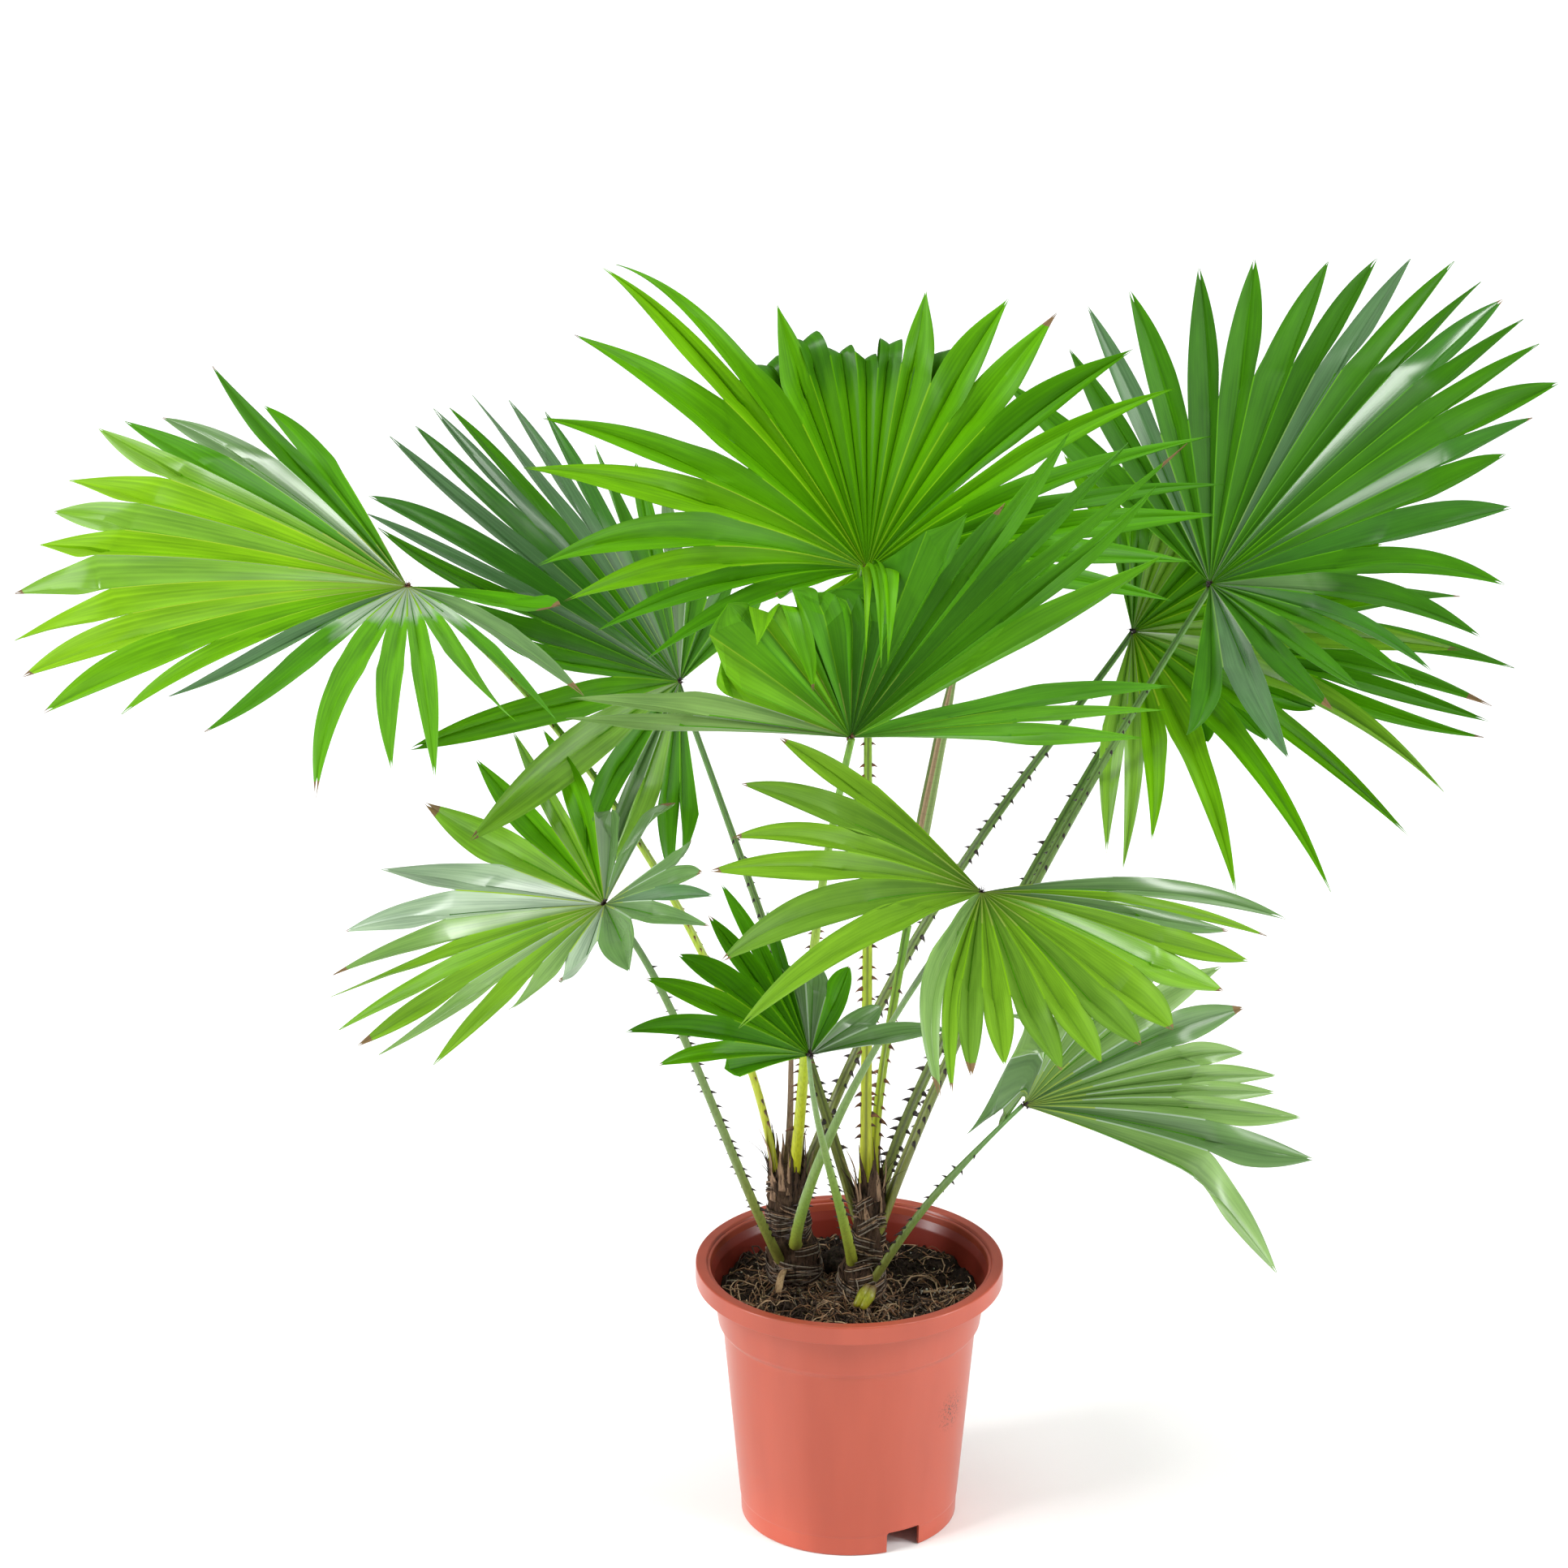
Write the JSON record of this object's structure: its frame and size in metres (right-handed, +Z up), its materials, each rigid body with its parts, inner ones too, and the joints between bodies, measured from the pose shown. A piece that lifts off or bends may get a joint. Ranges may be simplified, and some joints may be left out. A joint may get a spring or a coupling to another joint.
{
  "type": "potted palm",
  "caption": "Young livistona fan palm in a tapered plastic nursery pot: short fibrous stems, spiny leaf stalks and thin cut fan blades.",
  "frame": {"origin": "centre of the pot's flat underside, at the level that the pot stands on", "axes": "+Z up, +X to the right and -Y towards the viewer of the picture"},
  "size_m": [1.1798, 0.8717, 0.9743],
  "materials": {
    "pot": "terracotta-coloured injection-moulded plastic, satin",
    "soil": "dark fibrous potting mix, matt",
    "stem": "brown fibre-wrapped stem, matt",
    "petiole_green": "smooth green leaf stalk, satin",
    "petiole_lime": "smooth yellow-green leaf stalk, satin",
    "leaf_deep": "deep green leaf, satin",
    "leaf_green": "mid green leaf, satin",
    "leaf_lime": "yellow-green leaf, satin",
    "leaf_pale": "pale green leaf, satin",
    "dry": "dry brown leaf stalk and sheath, matt"
  },
  "bodies": {
    "root": {"pot": "pot", "soil": "soil", "stem_left": "stem", "stem_right": "stem", "petiole_far_left": "petiole_lime", "petiole_left_back": "petiole_green", "petiole_top": "petiole_lime", "petiole_centre_front": "petiole_lime", "petiole_right_high": "petiole_green", "petiole_right_low": "petiole_green", "petiole_front_right": "petiole_green", "petiole_front_left": "petiole_green", "petiole_small": "petiole_green", "petiole_lower_right": "petiole_green", "petiole_right_back": "petiole_green", "frond_far_left": "leaf_lime", "frond_left_back": "leaf_deep", "frond_top": "leaf_lime", "frond_centre_front": "leaf_lime", "frond_right_high": "leaf_deep", "frond_right_low": "leaf_green", "frond_front_right": "leaf_green", "frond_front_left": "leaf_pale", "frond_small": "leaf_deep", "frond_lower_right": "leaf_pale", "frond_right_back": "leaf_deep", "spear_petiole": "petiole_lime", "spear_blade": "petiole_green", "dry_petiole": "dry", "leaf_base": "petiole_lime"}
  },
  "joints": []
}
